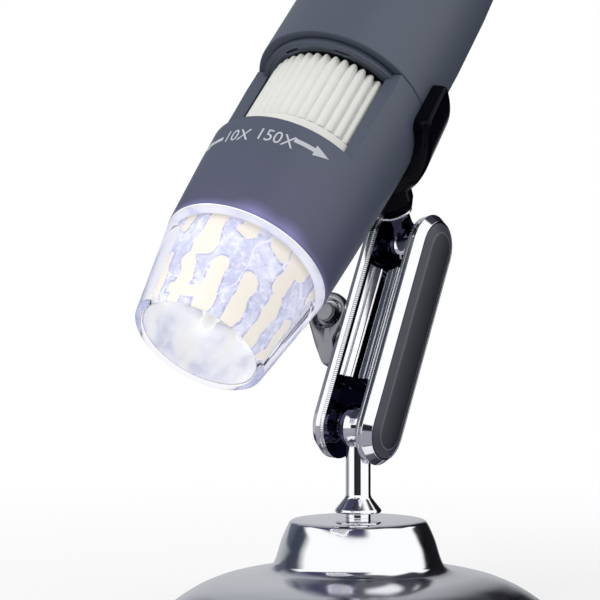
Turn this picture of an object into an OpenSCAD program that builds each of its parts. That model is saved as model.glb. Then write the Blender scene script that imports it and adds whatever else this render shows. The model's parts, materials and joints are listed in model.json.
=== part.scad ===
// Handheld digital microscope clipped to a chrome table stand. Units are millimetres.
// The origin is the centre of the base's underside, +Z is up and the photographed side faces -Y.

/* [Base] */
// Radius of the round base at its widest
base_r = 35.5; // [30:0.5:45]
// Height of the base's raised crown
base_h = 17.5; // [16:0.5:24]
// Radius of the crown's flat top
crown_r = 12.8; // [11:0.2:15]
// Thickness of the rubber foot pad
pad_t = 1.5; // [1:0.1:2]

/* [Post] */
// Radius of the turned post
post_r = 2.35; // [2:0.05:2.6]
// Height of the lower ball's centre above the crown
ball_rise = 17.5; // [15:0.5:24]
// Radius of both balls
ball_r = 4.25; // [4:0.05:4.5]

/* [Arm] */
// Distance between the two ball centres
arm_len = 36; // [33:0.5:44]
// Half width of the clamp plates
arm_half_w = 6.7; // [6:0.1:7]
// Thickness of each clamp plate
plate_t = 2.95; // [2:0.05:3]
// Distance from the arm's middle plane to each plate's inner face
plate_in = 3.65; // [3.5:0.05:3.9]
// Sideways tilt of the arm in degrees
arm_side = 16.2; // [0:0.1:30]
// Lean of the arm away from the front in degrees
arm_lean = 12; // [0:0.5:25]
// Turn of the arm about its own length in degrees
arm_turn = 35.3; // [0:0.1:60]

/* [Clip] */
// Wall of the spring clip's sleeve at its lower end
clip_wall = 3.2; // [2.8:0.1:3.6]
// Angle between the clip's stud and the square across the barrel, in degrees
stud_lean = 17; // [0:1:20]
// Distance from the barrel's surface to the upper ball's centre
stud_reach = 16.8; // [16:0.1:20]
// Tilt of the microscope from upright in degrees
scope_tilt = 41.57; // [25:0.1:55]
// Compass direction in which the microscope leans, in degrees
scope_turn = 51.9; // [35:0.1:70]

/* [Microscope] */
// Radius of the barrel at the clip
barrel_r = 16.6; // [16:0.1:18]
// Radius of the clear cap at the lens end
nose_r = 11.8; // [11:0.1:12.4]
// Distance from the barrel's axis to the flat of the focus window
window_x = 6.7; // [6:0.1:8]
// Number of ribs on the focus wheel
rib_count = 44; // [30:1:50]
// Radius of the focus wheel over its ribs
wheel_r = 13.2; // [12.6:0.1:13.2]
// Number of lamps round the lens
led_count = 8; // [4:1:10]

/* [Hidden] */
$fn = 96;
run_gap = 0.06;
face_gap = 0.05;
ball_z = base_h + ball_rise;
plate_out = plate_in + plate_t;
plate_edge_t = 1.35;
rim_bevel = 1.2;
inlay_t = 0.7;
inlay_sink = 0.6;
inlay_half_w = 5.15;
inlay_bevel = 1.75;
inlay_top = plate_out + inlay_t;
// The clamp lever turns about a pin outside the left plate.
pin_x = -inlay_top - 4.7;
clamp_z = 20.25;
shank_r = 1.5;
pin_r = 1.0;
lever_half_t = 2.9;
// Stations along the microscope, measured from its lens end.
nose_len = 18.3;
window_z = 38;
seam_z = 59.4;
cap_z = 104;
barrel_len = 112;
stud_z = 54;
clip_z0 = 52;
clip_z1 = 70.3;
// Angle from the clip's stud to the middle of the focus window.
window_turn = -172;
cavity_r = barrel_r - 3.15;
chassis_r = 7.6;
chassis_bore = 6.25;
chassis_end = 66;
board_top = 8.6;
button_z = 80;
dial_z = 95;
dial_x = 11.9;

// Frames. The arm's own frame has its length along Z and the right plate on +X.
module at_lower_ball() {
    translate([0, 0, ball_z]) rotate([0, arm_side, 0]) rotate([-arm_lean, 0, 0])
        rotate([0, 0, -arm_turn]) children();
}

// Centre of the upper ball, worked out from the three turns of the arm.
up_y = sin(arm_lean);
up_z = cos(arm_lean);
upper_ball = [arm_len * up_z * sin(arm_side), arm_len * up_y, ball_z + arm_len * up_z * cos(arm_side)];

// The clip's frame has the barrel's axis along Z and the stud on +X.
module at_clip() {
    translate(upper_ball) rotate([0, 0, scope_turn]) rotate([0, scope_tilt, 0])
        translate([-barrel_r - stud_reach, 0, -stud_z]) children();
}

// The stud's frame has its origin in the upper ball and +X along the stud, away from the barrel.
module at_stud() {
    translate(upper_ball) rotate([0, 0, scope_turn]) rotate([0, scope_tilt + stud_lean, 0]) children();
}

// The microscope's frame is the clip's, turned so that +X faces the window.
module at_scope() {
    at_clip() rotate([0, 0, window_turn]) children();
}

module along_x(h) {
    rotate([90, 0, 90]) linear_extrude(height = h) children();
}

module rod_x(x0, x1, r) {
    translate([x0, 0, 0]) rotate([0, 90, 0]) cylinder(r = r, h = x1 - x0);
}

module rod_y(y0, y1, r) {
    translate([0, y0, 0]) rotate([-90, 0, 0]) cylinder(r = r, h = y1 - y0);
}

module tube(r1, r0, z0, z1) {
    translate([0, 0, z0]) difference() {
        cylinder(r = r1, h = z1 - z0);
        translate([0, 0, -1]) cylinder(r = r0, h = z1 - z0 + 2);
    }
}

// Base
crown_foot_z = base_h - 7.75;
screw_ring_r = 24;

module base_shell() {
    color("silver") {
        rotate_extrude() polygon([
            [post_r + 0.07, base_h], [crown_r - 0.8, base_h], [crown_r - 0.2, base_h - 0.2],
            [crown_r + 0.05, base_h - 0.6], [crown_r + 0.95, base_h - 2.2], [crown_r + 1.7, base_h - 4],
            [crown_r + 2.25, base_h - 5.9], [crown_r + 2.75, crown_foot_z + 0.4],
            [crown_r + 3.2, crown_foot_z - 0.4], [crown_r + 4, crown_foot_z - 1.1],
            [crown_r + 5, crown_foot_z - 1.5], [base_r - 16, 7.8], [base_r - 12.6, 7.2], [base_r - 9.2, 6.4],
            [base_r - 6.7, 5.35], [base_r - 5, 4.5], [base_r - 3, 3.35], [base_r - 1.2, 2.1],
            [base_r - 0.4, 1.5], [base_r, 1], [base_r - 0.2, 0.6],
            [base_r - 0.5, 0.4], [base_r - 1.7, 0.4], [base_r - 1.7, pad_t + 0.1], [base_r - 4.9, 3],
            [base_r - 6, 3.6], [base_r - 12.6, 5.9], [base_r - 16.5, 6.3], [crown_r + 2.1, 6.9],
            [crown_r + 1.1, 10.1], [crown_r - 1.4, base_h - 1.4], [5, base_h - 1.4],
            [5, base_h - 4.9], [post_r + 0.07, base_h - 4.9]]);
        // Bosses that take the ballast's screws.
        for (i = [0:2]) rotate([0, 0, 120 * i + 30]) translate([screw_ring_r, 0, 3.2]) difference() {
            cylinder(r = 2.5, h = 2.9);
            translate([0, 0, -1]) cylinder(r = 1.05, h = 3.2);
        }
    }
}

module base_ballast() {
    color("dimgray") difference() {
        rotate_extrude() polygon([
            [5.5, pad_t + 0.05], [base_r - 1.9, pad_t + 0.05], [base_r - 5.1, 2.85],
            [base_r - 6.2, 3.4], [base_r - 12.7, 5.7], [base_r - 16.6, 6.1], [crown_r + 1.9, 6.7],
            [crown_r + 0.9, 10.1], [crown_r - 1.6, base_h - 1.6], [5.5, base_h - 1.6]]);
        for (i = [0:2]) rotate([0, 0, 120 * i + 30]) translate([screw_ring_r, 0, 0]) {
            cylinder(r = 3.5, h = 2.9);
            cylinder(r = 2.6, h = 8);
        }
    }
}

module ballast_screws() {
    color("gainsboro") for (i = [0:2]) rotate([0, 0, 120 * i + 30]) translate([screw_ring_r, 0, 0]) {
        difference() {
            translate([0, 0, pad_t + 0.1]) cylinder(r = 3.4, h = 1.2);
            translate([0, 0, pad_t - 0.5]) cylinder(r = 1.2, h = 1.2, $fn = 6);
        }
        translate([0, 0, pad_t + 1.2]) cylinder(r = 0.95, h = 2.3);
    }
}

module foot_pad() {
    color("#222222") rotate_extrude() polygon([
        [0, 0], [19, 0], [19.4, 0.4], [20.6, 0.4], [21, 0],
        [base_r - 3.5, 0], [base_r - 1.8, 0.5], [base_r - 1.8, pad_t], [0, pad_t]]);
}

// Post
module ball_post() {
    color("silver") difference() {
        union() {
            translate([0, 0, ball_z]) sphere(r = ball_r);
            rotate_extrude() polygon([
                [0, base_h - 5], [post_r, base_h - 5], [post_r, base_h + 1.3],
                [4.1, base_h + 1.3], [4.4, base_h + 1.6], [post_r, base_h + 4.3],
                [post_r, ball_z - 2.6], [post_r + 0.35, ball_z - 1.5], [0, ball_z - 1.5]]);
        }
        translate([0, 0, base_h - 6]) cylinder(r = 1.2, h = 7);
    }
}

module post_washer() {
    color("gainsboro") tube(4.2, 1.3, base_h - 5.8, base_h - 5);
}

module post_screw() {
    color("gainsboro") difference() {
        union() {
            translate([0, 0, base_h - 7.6]) cylinder(r = 2.4, h = 1.8);
            translate([0, 0, base_h - 6]) cylinder(r = 1.18, h = 6.5);
        }
        translate([0, 0, base_h - 8]) cylinder(r = 1.3, h = 1.2, $fn = 6);
    }
}

// Arm
module stadium(half_w, len) {
    circle(r = half_w);
    translate([0, len]) circle(r = half_w);
    translate([-half_w, 0]) square([2 * half_w, len]);
}

boss_half_w = 6.2;
boss_x0 = 0.45;
boss_z0 = 7.75;
pocket_r = 6.7;

// A pad whose rim is bevelled: round ends and straight sides of the same slope.
module bevel_pad(half_w, bevel, len, h) {
    translate([0, 0, 0]) rotate([0, 90, 0]) cylinder(r1 = half_w, r2 = half_w - bevel, h = h);
    translate([0, 0, len]) rotate([0, 90, 0]) cylinder(r1 = half_w, r2 = half_w - bevel, h = h);
    linear_extrude(height = len) polygon([[0, -half_w], [h, bevel - half_w], [h, half_w - bevel],
        [0, half_w]]);
}

module plate_shape() {
    difference() {
        union() {
            translate([plate_in, 0, 0]) along_x(plate_edge_t) stadium(arm_half_w, arm_len);
            translate([plate_in + plate_edge_t, 0, 0])
                bevel_pad(arm_half_w, rim_bevel, arm_len, plate_t - plate_edge_t);
            // The inner boss nearly meets its neighbour. A rib runs along both of its edges.
            difference() {
                translate([0, 0, boss_z0]) linear_extrude(height = arm_len - boss_z0 - 5.5) {
                    polygon([[boss_x0, 0.6 - boss_half_w], [boss_x0 + 0.6, -boss_half_w],
                        [plate_in + 0.4, -boss_half_w], [plate_in + 0.4, boss_half_w],
                        [boss_x0 + 0.6, boss_half_w], [boss_x0, boss_half_w - 0.6]]);
                    translate([2.6, -arm_half_w]) square([0.8, 2 * arm_half_w]);
                }
                translate([0, -10, arm_len]) rod_y(0, 20, pocket_r);
            }
        }
        sphere(r = ball_r + run_gap);
        translate([0, 0, arm_len]) sphere(r = ball_r + run_gap);
        translate([plate_out - inlay_sink, 0, 0]) along_x(5) stadium(inlay_half_w + 0.05, arm_len);
    }
}

module arm_plate_right() {
    color("silver") at_lower_ball() difference() {
        plate_shape();
        translate([0, 0, clamp_z]) {
            rod_x(-1, 20, shank_r + 0.1);
            rod_x(plate_out - 1.9, 20, 3.4);
        }
    }
}

module arm_plate_left() {
    color("silver") at_lower_ball() difference() {
        mirror([1, 0, 0]) plate_shape();
        translate([0, 0, clamp_z]) rod_x(-20, 1, shank_r + 0.1);
    }
}

module inlay_shape() {
    translate([plate_out - inlay_sink + 0.02, 0, 0]) along_x(inlay_sink) stadium(inlay_half_w, arm_len);
    translate([plate_out, 0, 0]) bevel_pad(inlay_half_w, inlay_bevel, arm_len, inlay_t);
}

module arm_inlay_right() {
    color("#3a4046") at_lower_ball() inlay_shape();
}

module arm_inlay_left() {
    color("#3a4046") at_lower_ball() difference() {
        mirror([1, 0, 0]) inlay_shape();
        translate([0, 0, clamp_z]) rod_x(-20, 1, saddle_r + 0.1);
    }
}

module clamp_bolt() {
    color("gainsboro") at_lower_ball() translate([0, 0, clamp_z]) difference() {
        union() {
            rod_x(plate_out - 1.85, plate_out - 0.65, 3.3);
            rod_x(pin_x, plate_out - 1, shank_r);
            translate([pin_x, 0, 0]) rod_y(-1.5, 1.5, 2.2);
        }
        translate([pin_x, 0, 0]) rod_y(-4, 4, pin_r + 0.02);
        rod_x(plate_out - 1.3, plate_out + 2, 1.4);
    }
}

// The lever's outline: a round head, a waist and a narrow tip that lies along the arm.
tail_mid = [1.0, -5.2];
tail_tip = [2.9, -8.9];
head_r = 4.3;
mid_r = 2.2;
tip_r = 1.4;
saddle_r = 3.6;

// Points of an arc round c, from angle a0 to a1.
function arc_points(c, r, a0, a1, n) = [for (i = [0 : n])
    c + r * [cos(a0 + (a1 - a0) * i / n), sin(a0 + (a1 - a0) * i / n)]];

// The direction from one circle to the next, and how far from it their common tangents touch.
function way(a, b) = atan2(b[1] - a[1], b[0] - a[0]);
function spread(a, ra, b, rb) = acos((ra - rb) / norm(b - a));

// Two tangents go down each side of the outline. Those on the right cross in the waist.
module lever_outline() {
    upper = way([0, 0], tail_mid);
    lower = way(tail_mid, tail_tip);
    upper_spread = spread([0, 0], head_r, tail_mid, mid_r);
    lower_spread = spread(tail_mid, mid_r, tail_tip, tip_r);
    waist = (upper + upper_spread + lower + lower_spread) / 2;
    waist_r = mid_r / cos((lower + lower_spread - upper - upper_spread) / 2);
    polygon(concat(
        arc_points([0, 0], head_r, upper + upper_spread, 360 + upper - upper_spread, 40),
        arc_points(tail_mid, mid_r, upper - upper_spread, lower - lower_spread, 2),
        arc_points(tail_tip, tip_r, lower - lower_spread, lower + lower_spread, 16),
        [tail_mid + waist_r * [cos(waist), sin(waist)]]));
}

// A washer let into the left pad. The lever's round head presses on it.
module clamp_saddle() {
    color("gainsboro") at_lower_ball() translate([0, 0, clamp_z]) difference() {
        rod_x(-inlay_top - 0.08, inlay_sink - plate_out - 0.02, saddle_r);
        rod_x(-20, 1, shank_r + 0.1);
    }
}

module lever_pin() {
    color("gainsboro") at_lower_ball() translate([pin_x, 0, clamp_z]) {
        rod_y(-lever_half_t - 0.3, lever_half_t + 0.3, pin_r);
        translate([0, -lever_half_t - 0.85, 0]) rod_y(0, 0.7, 1.9);
        translate([0, lever_half_t + 0.15, 0]) rod_y(0, 0.7, 1.9);
    }
}

module clamp_lever() {
    color("silver") at_lower_ball() difference() {
        translate([pin_x, lever_half_t, clamp_z]) rotate([90, 0, 0])
            linear_extrude(height = 2 * lever_half_t) lever_outline();
        translate([pin_x, 0, clamp_z]) {
            rod_y(-5, 5, pin_r + 0.05);
            rod_y(-1.65, 1.65, 2.4);
            // The fork's slot gives the bolt room while the lever opens.
            translate([-1.9, -1.65, -1.9]) cube([8, 3.3, 8]);
        }
        // Shallow dishes round the pin's heads.
        for (s = [-1, 1]) translate([pin_x, s * (lever_half_t - 0.25), clamp_z])
            rotate([-90 * s, 0, 0]) cylinder(r1 = 2.1, r2 = 3.8, h = 0.5);
    }
}

// Upper joint. Stations along the stud are measured from the upper ball, towards the barrel.
boss_end = 7.9;
stud_end = 14.2;

module clip_stud() {
    color("silver") at_stud() difference() {
        union() {
            sphere(r = ball_r);
            rod_x(-boss_end + 0.4, -1.5, post_r);
            rod_x(-boss_end + 0.03, -boss_end + 0.5, 3.15);
            rod_x(-stud_end, -boss_end + 0.2, 2.0);
        }
        rod_x(-stud_end - 1, -boss_end, 1.25);
    }
}

module clip_screw() {
    color("gainsboro") at_stud() difference() {
        union() {
            rod_x(-stud_end - 1.7, -stud_end - 0.1, 3.0);
            rod_x(-stud_end - 0.2, -boss_end - 0.5, 1.2);
        }
        translate([-stud_end - 1.8, 0, 0]) rotate([0, 90, 0]) cylinder(r = 1.4, h = 1, $fn = 6);
    }
}

sleeve_from = -80;
sleeve_to = 104;
jaw_z0 = 54.3;
jaw_z1 = 65;

// The curved wall, from one jaw's edge round the back to the other's.
module sleeve_wall() {
    at_clip() rotate([0, 0, sleeve_from]) rotate_extrude(angle = sleeve_to - sleeve_from) polygon([
        [barrel_r + 0.05, clip_z0], [barrel_r + 1.2, clip_z0],
        [barrel_r + clip_wall - 1.1, clip_z0 + 0.3], [barrel_r + clip_wall - 0.35, clip_z0 + 1],
        [barrel_r + clip_wall, clip_z0 + 2.1],
        [barrel_r + clip_wall, clip_z0 + 3], [barrel_r + clip_wall - 0.6, 64.2],
        [barrel_r + clip_wall - 1.1, 65.2], [barrel_r + 0.5, clip_z1], [barrel_r + 0.05, clip_z1]]);
}

// The two jaws are shorter than the back: sloping cuts above and below each one.
module jaw_cuts() {
    at_clip() for (m = [0, 1]) mirror([0, m, 0]) {
        translate([0, -barrel_r, jaw_z1]) rotate([40, 0, 0]) translate([-40, -30, 0]) cube([80, 90, 30]);
        translate([0, -barrel_r, jaw_z0]) rotate([-19.3, 0, 0]) translate([-40, -30, -30])
            cube([80, 60, 30]);
    }
}

// The bore for the stud, and the counterbore for the screw's head.
module stud_bore() {
    at_stud() {
        rod_x(-22, 0, 2.06);
        rod_x(-22, -stud_end, 3.1);
    }
}

module clip_sleeve() {
    color("#111111") {
        difference() {
            sleeve_wall();
            jaw_cuts();
            stud_bore();
        }
        // The boss ends inside the wall.
        difference() {
            at_stud() rotate([0, 0, 180]) {
                rod_x(boss_end + 1.6, 15.4, 4.2);
                translate([boss_end, 0, 0]) rotate([0, 90, 0]) cylinder(r1 = 3.3, r2 = 4, h = 1.61);
            }
            stud_bore();
            at_clip() cylinder(r = barrel_r + 0.6, h = 120);
        }
    }
}

// Microscope
module nose_cap() {
    // A clear open cup with a thick rim. Its spigot plugs into the casing.
    color("lightcyan") at_scope() rotate_extrude() polygon([
        [nose_r - 1.6, 0.3], [nose_r - 1.3, 0], [nose_r - 0.5, 0], [nose_r, 0.5],
        [nose_r + 3.07, nose_len - 0.05], [13.35, nose_len - 0.05], [13.35, 21.6], [12.2, 21.6],
        [12.2, 16]]);
}

module front_casing() {
    color("slategray") at_scope() difference() {
        rotate_extrude() polygon([
            [13.4, nose_len], [14.75, nose_len], [14.95, 18.6], [15.4, 25], [15.75, 31], [16.05, window_z],
            [barrel_r - 0.2, 48], [barrel_r, stud_z], [barrel_r, seam_z - 0.35],
            [barrel_r - 0.25, seam_z - 0.05], [cavity_r + 1.6, seam_z - 0.05], [cavity_r + 1.6, 58.4],
            [cavity_r, 58.4], [cavity_r, 40.9], [cavity_r + 0.6, 40.9], [cavity_r + 0.6, window_z - 0.2],
            [12.6, window_z - 0.2], [12.6, 22], [13.4, 22]]);
        translate([window_x, -25, window_z]) cube([30, 50, 40]);
    }
}

module rear_casing() {
    color("slategray") at_scope() {
        difference() {
            rotate_extrude() polygon([
                [barrel_r - 0.25, seam_z], [barrel_r, seam_z + 0.3], [barrel_r, 78],
                [barrel_r - 0.1, 80], [barrel_r - 0.4, 92], [barrel_r - 1.2, cap_z - 0.2],
                [barrel_r - 1.4, cap_z - 0.05], [13.6, cap_z - 0.05], [14.3, 92], [14.8, 80],
                [14.8, 61], [cavity_r + 1.6, 60.6], [cavity_r + 1.6, seam_z]]);
            translate([0, 0, button_z]) rod_x(5, 25, 3.87);
            translate([5, -1.55, dial_z - 4.7]) cube([20, 3.1, 9.4]);
        }
        // Rails that hold the main board's long edges.
        intersection() {
            for (s = [-1, 1]) for (x = [board_top - 2.2, board_top + 0.05])
                translate([x, s * 11.3 - 1.3, 72]) cube([0.9, 2.6, 18]);
            cylinder(r = 15.0, h = 120);
        }
    }
}

module rear_cap() {
    color("slategray") at_scope() rotate_extrude() polygon([
        [barrel_r - 1.4, cap_z], [barrel_r - 1.2, cap_z + 0.3], [barrel_r - 1.45, cap_z + 2.2],
        [barrel_r - 2.1, cap_z + 4.2], [barrel_r - 3.2, cap_z + 5.9], [barrel_r - 4.7, cap_z + 7.1],
        [barrel_r - 6.6, barrel_len - 0.1], [barrel_r - 8.4, barrel_len], [3.4, barrel_len],
        [3.4, barrel_len - 2], [9, barrel_len - 2], [11.8, 107.6], [12.6, 105], [12.6, 101],
        [13.4, 101], [13.4, cap_z]]);
}

module cable_grommet() {
    color("#1b1b1b") at_scope() rotate_extrude() polygon([
        [2.2, 108], [4.6, 108], [4.6, barrel_len - 2.05], [3.35, barrel_len - 2.05],
        [3.35, barrel_len + 0.05], [4.6, barrel_len + 0.05], [4.6, barrel_len + 0.7],
        [4.1, barrel_len + 1.4], [2.2, barrel_len + 1.4]]);
}

module lens_chassis() {
    color("#26282b") at_scope() {
        difference() {
            rotate_extrude() polygon([
                [chassis_bore, 13.25], [9, 13.25], [9, 14.2], [chassis_r, 14.6], [chassis_r, 22.05],
                [12.5, 22.05], [12.5, 23.5], [chassis_r, 23.5], [chassis_r, 58.5], [15, 58.5],
                [15, 60.5], [chassis_r, 60.5], [chassis_r, chassis_end - 0.05],
                [chassis_bore, chassis_end - 0.05]]);
            // Straight slot for the lens carrier's follower pin.
            translate([-12, -1, 42.2]) cube([8, 2, 11.6]);
        }
        for (i = [0:2]) rotate([0, 0, 120 * i + 90]) translate([10, 0, 60.4]) difference() {
            cylinder(r = 1.9, h = chassis_end - 60.45);
            translate([0, 0, 1]) cylinder(r = 0.8, h = 9);
        }
    }
}

module led_board() {
    color("seagreen") at_scope() tube(11.2, 6.3, 12, 13.2);
}

module leds() {
    color("lightyellow") at_scope() for (i = [0:led_count - 1])
            rotate([0, 0, 360 / led_count * i]) translate([9, 0, 0]) {
        translate([0, 0, 10]) cylinder(r = 1.4, h = 1.95, $fn = 48);
        translate([0, 0, 11.3]) cylinder(r = 1.65, h = 0.65, $fn = 48);
        translate([0, 0, 10]) sphere(r = 1.4, $fn = 48);
    }
}

module sensor_board() {
    color("seagreen") at_scope() difference() {
        translate([0, 0, chassis_end]) cylinder(r = 12.2, h = 1.2);
        for (i = [0:2]) rotate([0, 0, 120 * i + 90]) translate([10, 0, 60]) cylinder(r = 0.85, h = 9);
    }
}

module image_sensor() {
    color("#30343a") at_scope() {
        translate([-3.2, -3.2, chassis_end - 1.1]) cube([6.4, 6.4, 1.05]);
        translate([-2.4, -1.9, chassis_end - 1.3]) cube([4.8, 3.8, 0.4]);
    }
}

module board_screws() {
    color("gainsboro") at_scope() for (i = [0:2]) rotate([0, 0, 120 * i + 90]) translate([10, 0, 0]) {
        translate([0, 0, chassis_end + 1.2]) cylinder(r = 1.6, h = 0.9, $fn = 48);
        translate([0, 0, 61.6]) cylinder(r = 0.78, h = 6, $fn = 48);
    }
}

module main_board() {
    color("seagreen") at_scope() difference() {
        translate([board_top - 1.2, -10.2, 69]) cube([1.2, 20.4, 31.5]);
        translate([board_top - 3, -2.3, dial_z - 6]) cube([6, 4.6, 20]);
    }
}

module board_chips() {
    color("#20242a") at_scope() {
        translate([board_top - 2.65, -4, 73]) cube([1.4, 8, 8]);
        translate([board_top - 2.5, -3, 84]) cube([1.25, 5, 4]);
        translate([board_top + 0.05, -8, 71]) cube([1.8, 5, 3.2]);
        translate([board_top + 0.05, 4.5, 72]) cube([1.1, 3.4, 2.2]);
        translate([board_top + 0.05, -7.4, 92]) cube([2.2, 4, 5.6]);
    }
}

module tact_switch() {
    color("#2a2d31") at_scope() translate([0, 0, button_z]) {
        translate([board_top + 0.05, -3, -3]) cube([3.2, 6, 6]);
        rod_x(board_top + 3, board_top + 3.75, 1.6);
    }
}

module dimmer_pot() {
    color("#2a2d31") at_scope() translate([0, 0, dial_z]) {
        translate([board_top + 0.05, 2.4, -3]) cube([4.3, 2.8, 6]);
        translate([dial_x, 0, 0]) rod_y(-1.9, 2.6, 1.0);
    }
}

module focus_wheel() {
    color("ivory") at_scope() difference() {
        union() {
            translate([0, 0, 40.4]) linear_extrude(height = 17.6) {
                circle(r = wheel_r - 0.6);
                for (i = [0:rib_count - 1]) rotate(360 / rib_count * i) translate([wheel_r - 0.65, 0])
                    circle(r = 0.65, $fn = 24);
            }
            translate([0, 0, window_z + 0.3]) cylinder(r = wheel_r + 0.45, h = 2.3);
        }
        cylinder(r = chassis_r + run_gap, h = 90);
        translate([0, 0, 40.3]) cylinder(r = 8.9, h = 15.7);
    }
}

module lens_carrier() {
    color("#1e1f22") at_scope() {
        rotate_extrude() polygon([
            [4.8, 41], [6.2, 41], [6.2, 55], [4.8, 55], [4.8, 51.6], [3.6, 51.6], [3.6, 45],
            [4.8, 45]]);
        translate([-8.5, 0, 48]) rotate([0, 90, 0]) cylinder(r = 0.95, h = 3);
    }
}

module lens_shape(r, z0, z1, bulge) {
    // The curved faces are parts of two spheres that meet the rim.
    R = (r * r + bulge * bulge) / (2 * bulge);
    translate([0, 0, z0]) cylinder(r = r, h = z1 - z0);
    intersection() {
        translate([0, 0, z1 + bulge - R]) sphere(r = R);
        translate([0, 0, z1 - 0.01]) cylinder(r = r, h = bulge + 1);
    }
    intersection() {
        translate([0, 0, z0 - bulge + R]) sphere(r = R);
        translate([0, 0, z0 - bulge - 1]) cylinder(r = r, h = bulge + 1.01);
    }
}

module objective_lens() {
    color("lightblue") at_scope() lens_shape(4.75, 43.2, 44.55, 0.7);
}

module relay_lens() {
    color("lightblue") at_scope() lens_shape(4.7, 52.6, 53.8, 0.6);
}

module lens_retainer() {
    color("#1e1f22") at_scope() tube(4.75, 4.1, 41.2, 42.9);
}

module snapshot_button() {
    color("#33373c") at_scope() translate([0, 0, button_z]) {
        rod_x(13.2, barrel_r + 0.3, 3.8);
        rod_x(13.2, 13.9, 4.6);
        rod_x(13.1, 13.3, 3.8);
    }
}

module led_dial() {
    color("#33373c") at_scope() translate([dial_x, 0, dial_z]) difference() {
        rod_y(-1.3, 1.3, 5);
        rod_y(-4, 4, 1.05);
        for (i = [0:23]) rotate([0, 15 * i, 0]) translate([5.15, 0, 0]) rod_y(-4, 4, 0.4);
    }
}

base_shell();
base_ballast();
ballast_screws();
foot_pad();
ball_post();
post_washer();
post_screw();
arm_plate_right();
arm_plate_left();
arm_inlay_right();
arm_inlay_left();
clamp_bolt();
clamp_saddle();
lever_pin();
clamp_lever();
clip_stud();
clip_screw();
clip_sleeve();
nose_cap();
front_casing();
rear_casing();
rear_cap();
cable_grommet();
lens_chassis();
led_board();
leds();
sensor_board();
image_sensor();
board_screws();
main_board();
board_chips();
tact_switch();
dimmer_pot();
focus_wheel();
lens_carrier();
objective_lens();
relay_lens();
lens_retainer();
snapshot_button();
led_dial();
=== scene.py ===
"""Looks of the handheld digital microscope and its chrome stand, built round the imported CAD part.

Lengths are millimetres in the frame of each piece. make() and cut() bring them to metres in the CAD's frame.
"""

import json
import math

import bmesh
import bpy
from mathutils import Matrix, Vector


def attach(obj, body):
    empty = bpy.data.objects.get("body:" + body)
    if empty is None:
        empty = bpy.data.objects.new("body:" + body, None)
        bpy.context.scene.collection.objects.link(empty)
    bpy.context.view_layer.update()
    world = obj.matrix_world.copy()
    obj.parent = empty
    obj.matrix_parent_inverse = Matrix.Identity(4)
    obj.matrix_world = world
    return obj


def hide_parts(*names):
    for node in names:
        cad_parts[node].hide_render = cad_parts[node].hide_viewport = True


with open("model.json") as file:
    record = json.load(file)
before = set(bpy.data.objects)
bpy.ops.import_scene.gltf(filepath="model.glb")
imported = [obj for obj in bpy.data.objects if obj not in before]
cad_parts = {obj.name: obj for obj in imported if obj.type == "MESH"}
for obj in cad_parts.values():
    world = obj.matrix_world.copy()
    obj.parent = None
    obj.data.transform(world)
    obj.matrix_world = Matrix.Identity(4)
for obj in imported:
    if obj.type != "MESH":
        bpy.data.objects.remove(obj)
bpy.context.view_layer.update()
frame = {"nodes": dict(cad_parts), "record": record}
scene = bpy.context.scene
MM = 0.001
MERGE = 2e-7  # points closer than this, in metres, are one
PI = math.pi

# Driving dimensions in millimetres and degrees, as in the CAD source
BALL_Z = 35.0  # centre of the lower ball
BALL_R = 4.25  # both balls
POST_R = 2.35  # the post, and the stud's neck
NECK_R = 2.72  # where a neck meets its ball
ARM_LEN = 36.0  # between the balls' centres
ARM_SIDE, ARM_LEAN, ARM_TURN = 16.2, 12, 35.3
CLAMP_Z = 20.25  # the clamp bolt, along the arm
PIN_X = -12.0  # the lever's pin, across the arm
SCOPE_TURN, SCOPE_TILT = 51.9, 41.57
STUD_LEAN = 17  # angle between the stud and the square across the barrel
BARREL_R = 16.6
STUD_REACH = 16.8  # from the barrel's surface to the upper ball's centre
STUD_Z = 54  # the stud, along the microscope
WINDOW_TURN = -172  # from the stud round to the middle of the focus window
WINDOW_X, WINDOW_Z = 6.7, 38  # the window's flat and its lower end
NOSE_LEN = 18.3  # the clear cap
SEAM_Z = 59.4  # between the front and the rear casing
BUTTON_Z, DIAL_Z = 80, 95
FROST_R = 11.6  # middle of the frosted layer behind the clear cap
# The front casing's radius at stations along the microscope
TAPER = [(NOSE_LEN, 14.98), (25, 15.4), (31, 15.75), (WINDOW_Z, 16.05), (48, 16.4), (54, BARREL_R)]


# Frames of the pieces
def rot(axis, degrees):
    return Matrix.Rotation(math.radians(degrees), 4, axis)


M_TABLE = Matrix.Identity(4)
M_ARM = Matrix.Translation((0, 0, BALL_Z)) @ rot("Y", ARM_SIDE) @ rot("X", -ARM_LEAN) @ rot("Z", -ARM_TURN)
M_UPPER = Matrix.Translation(M_ARM @ Vector((0, 0, ARM_LEN))) @ rot("Z", SCOPE_TURN)
M_CLIP = M_UPPER @ rot("Y", SCOPE_TILT) @ Matrix.Translation((-BARREL_R - STUD_REACH, 0, -STUD_Z))
M_SCOPE = M_CLIP @ rot("Z", WINDOW_TURN)
M_STUD = M_UPPER @ rot("Y", SCOPE_TILT + STUD_LEAN)


# Objects and meshes. A shape is a pair of lists: points and faces.
def add(name, data):
    """A new object in the scene."""
    ob = bpy.data.objects.new(name, data)
    scene.collection.objects.link(ob)
    return ob


def mesh_of(name, shape, M, face_mats=None):
    """A mesh of a shape in frame M, with its normals outward."""
    points, faces = shape
    me = bpy.data.meshes.new(name)
    T = Matrix.Scale(MM, 4) @ M
    me.from_pydata([T @ Vector(p) for p in points], [], faces)
    if face_mats:
        me.polygons.foreach_set("material_index", face_mats)
    me.update()
    bm = bmesh.new()
    bm.from_mesh(me)
    bmesh.ops.remove_doubles(bm, verts=bm.verts, dist=MERGE)
    bmesh.ops.recalc_face_normals(bm, faces=bm.faces)
    bm.to_mesh(me)
    bm.free()
    return me


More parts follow.
